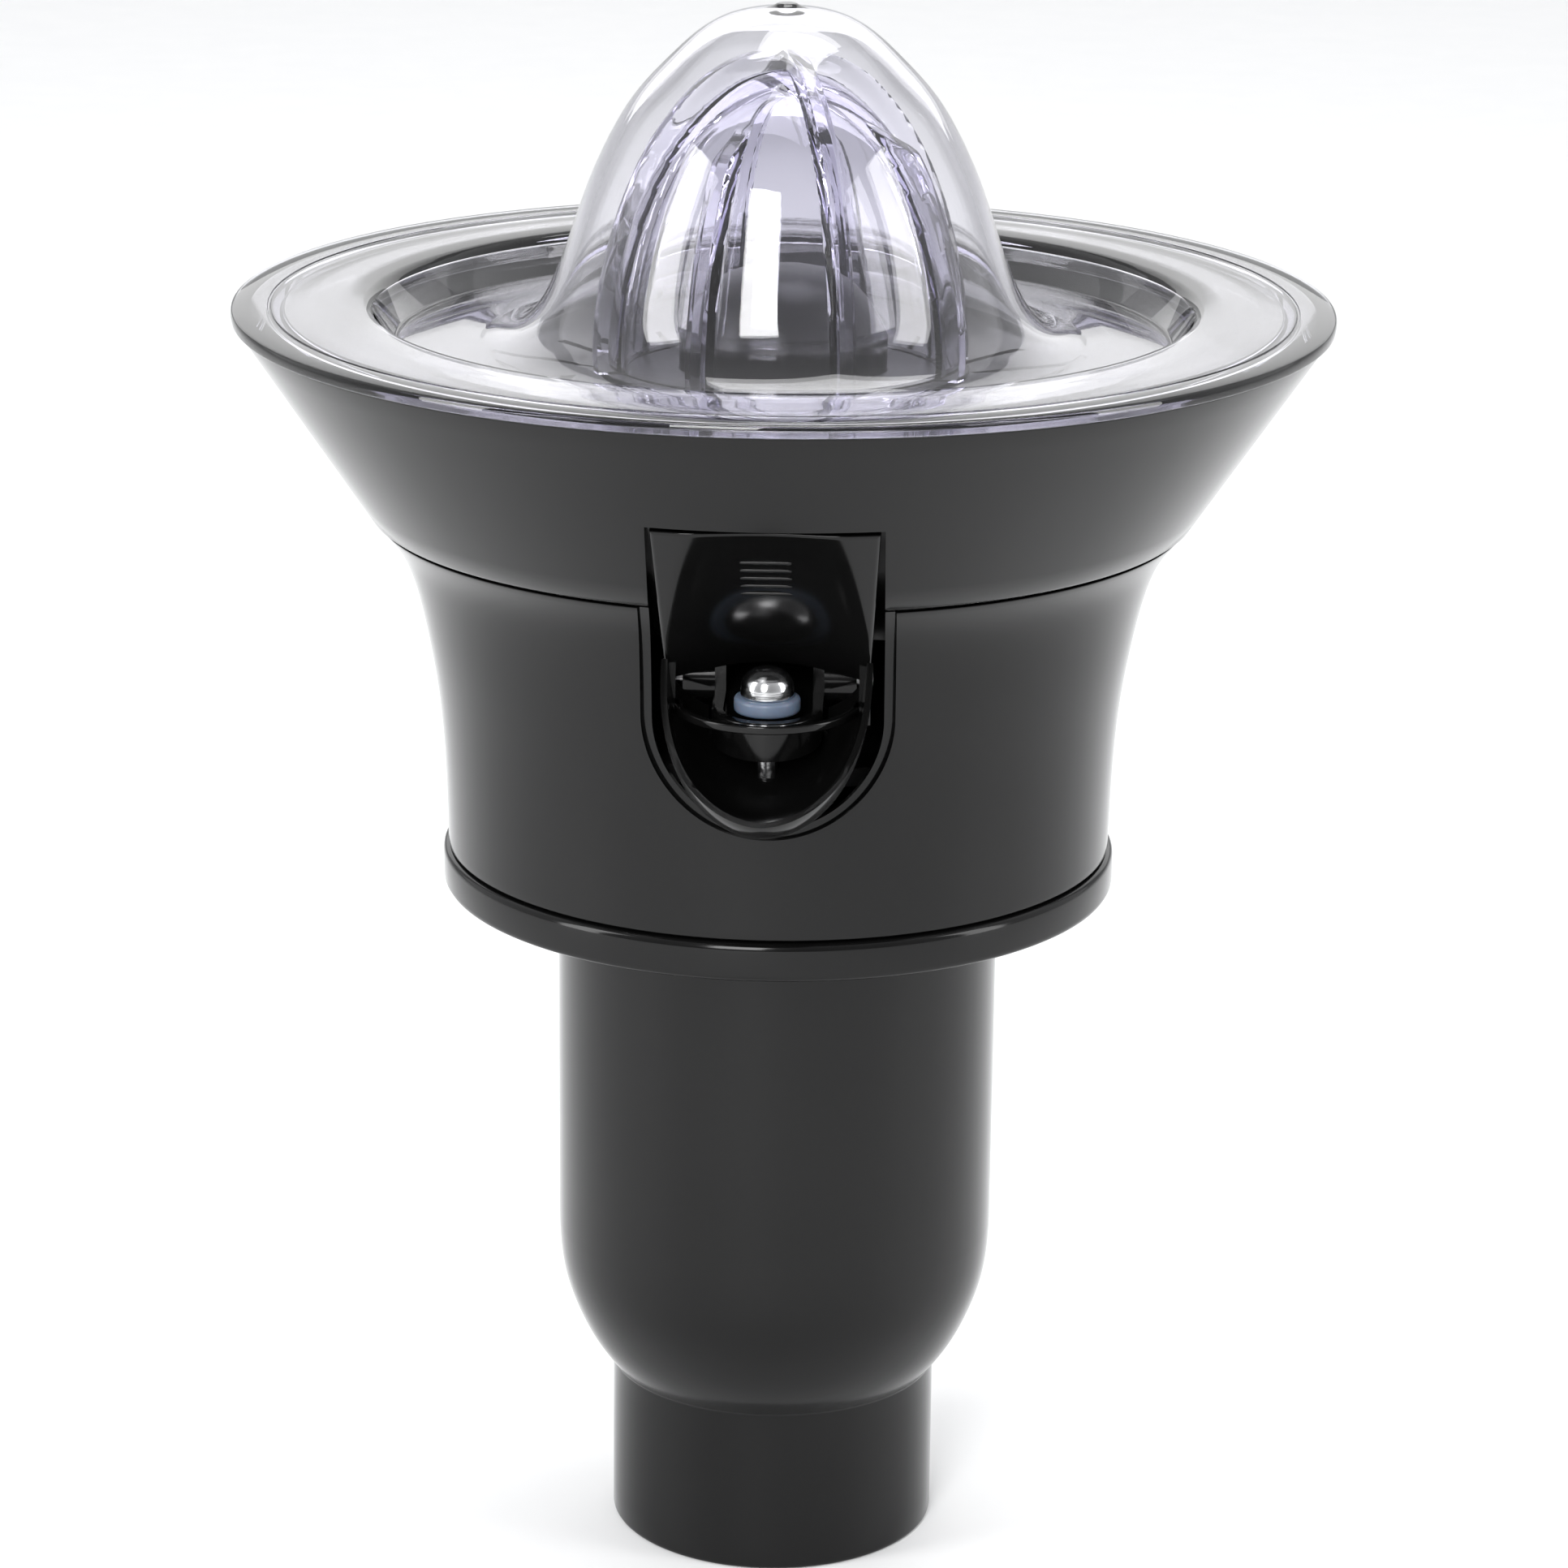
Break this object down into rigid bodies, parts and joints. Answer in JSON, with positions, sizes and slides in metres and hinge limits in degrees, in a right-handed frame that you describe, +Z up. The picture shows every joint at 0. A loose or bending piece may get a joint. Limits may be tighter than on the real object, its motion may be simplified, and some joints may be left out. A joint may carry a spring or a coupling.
{
  "type": "citrus press attachment",
  "caption": "Motor-driven citrus press head: clear domed lid and ribbed reamer cone over a black funnel bowl with tilting pouring spout, on a waisted housing with drive stem.",
  "frame": {"origin": "on the axis, at the spigot's lower edge", "axes": "+Z up along the axis; the pouring spout faces -Y"},
  "size_m": [0.1842, 0.1842, 0.2696],
  "materials": {
    "black_shell": "glossy moulded near-black plastic",
    "black_satin": "satin black plastic",
    "clear_plastic": "clear moulded plastic, faint violet in thick edges",
    "silicone": "pale translucent silicone",
    "seal_rubber": "black seal rubber",
    "polished_steel": "polished steel cap",
    "steel": "turned steel",
    "bronze": "sintered bronze",
    "gear_nylon": "natural nylon"
  },
  "bodies": {
    "stand": {"stem_housing": "black_shell", "base_ring": "black_shell", "housing": "black_shell", "flange_screws": "steel", "bearing_column": "black_satin", "column_screws": "steel", "column_bush": "bronze", "shaft_seal": "seal_rubber", "ring_gear": "gear_nylon", "gearbox_plate": "steel", "plate_bush": "bronze", "gearbox_cover": "steel", "cover_bush": "bronze", "input_bush": "bronze"},
    "input": {"input_shaft": "steel", "sun_gear": "steel", "input_circlip": "steel", "drive_coupling": "gear_nylon", "coupling_pin": "steel"},
    "output": {"carrier_plate": "steel", "planet_pins": "steel", "output_shaft": "steel"},
    "planet_1": {"planet_gear_1": "gear_nylon"},
    "planet_2": {"planet_gear_2": "gear_nylon"},
    "planet_3": {"planet_gear_3": "gear_nylon"},
    "bowl": {"bowl": "black_shell", "bowl_seal": "seal_rubber", "spout_pins": "steel"},
    "spout": {"spout_lever": "black_shell", "stopper": "polished_steel", "stopper_seal": "silicone"},
    "strainer": {"strainer": "black_satin"},
    "reamer": {"reamer_cone": "clear_plastic", "cone_hub": "black_shell"},
    "lid": {"lid": "clear_plastic"}
  },
  "joints": [
    {"name": "bowl_lift", "type": "slide", "parent": "stand", "child": "bowl", "axis": [0, 0, 1], "range_m": [0, 0.08]},
    {"name": "spout_tilt", "type": "hinge", "parent": "bowl", "child": "spout", "pos_m": [0, -0.046, 0.168], "axis": [1, 0, 0], "range_deg": [0, 9.4]},
    {"name": "strainer_lift", "type": "slide", "parent": "bowl", "child": "strainer", "axis": [0, 0, 1], "range_m": [0, 0.07]},
    {"name": "lid_lift", "type": "slide", "parent": "strainer", "child": "lid", "axis": [0, 0, 1], "range_m": [0, 0.09]},
    {"name": "carrier_spin", "type": "hinge", "parent": "stand", "child": "output", "pos_m": [0, 0, 0.07], "axis": [0, 0, 1], "continuous": true},
    {"name": "input_spin", "type": "hinge", "parent": "stand", "child": "input", "pos_m": [0, 0, 0.03], "axis": [0, 0, 1], "continuous": true},
    {"name": "cone_spin", "type": "hinge", "parent": "strainer", "child": "reamer", "pos_m": [0, 0, 0.21], "axis": [0, 0, 1], "continuous": true},
    {"name": "planet_1_spin", "type": "hinge", "parent": "output", "child": "planet_1", "pos_m": [0, 0.01875, 0.062], "axis": [0, 0, 1], "continuous": true},
    {"name": "planet_2_spin", "type": "hinge", "parent": "output", "child": "planet_2", "pos_m": [-0.01624, -0.00937, 0.062], "axis": [0, 0, 1], "continuous": true},
    {"name": "planet_3_spin", "type": "hinge", "parent": "output", "child": "planet_3", "pos_m": [0.01624, -0.00937, 0.062], "axis": [0, 0, 1], "continuous": true}
  ],
  "couplings": [
    {"joint": "input_spin", "follows": "carrier_spin", "ratio": 5},
    {"joint": "cone_spin", "follows": "carrier_spin", "ratio": 1},
    {"joint": "planet_1_spin", "follows": "carrier_spin", "ratio": -2.6667},
    {"joint": "planet_2_spin", "follows": "carrier_spin", "ratio": -2.6667},
    {"joint": "planet_3_spin", "follows": "carrier_spin", "ratio": -2.6667}
  ]
}
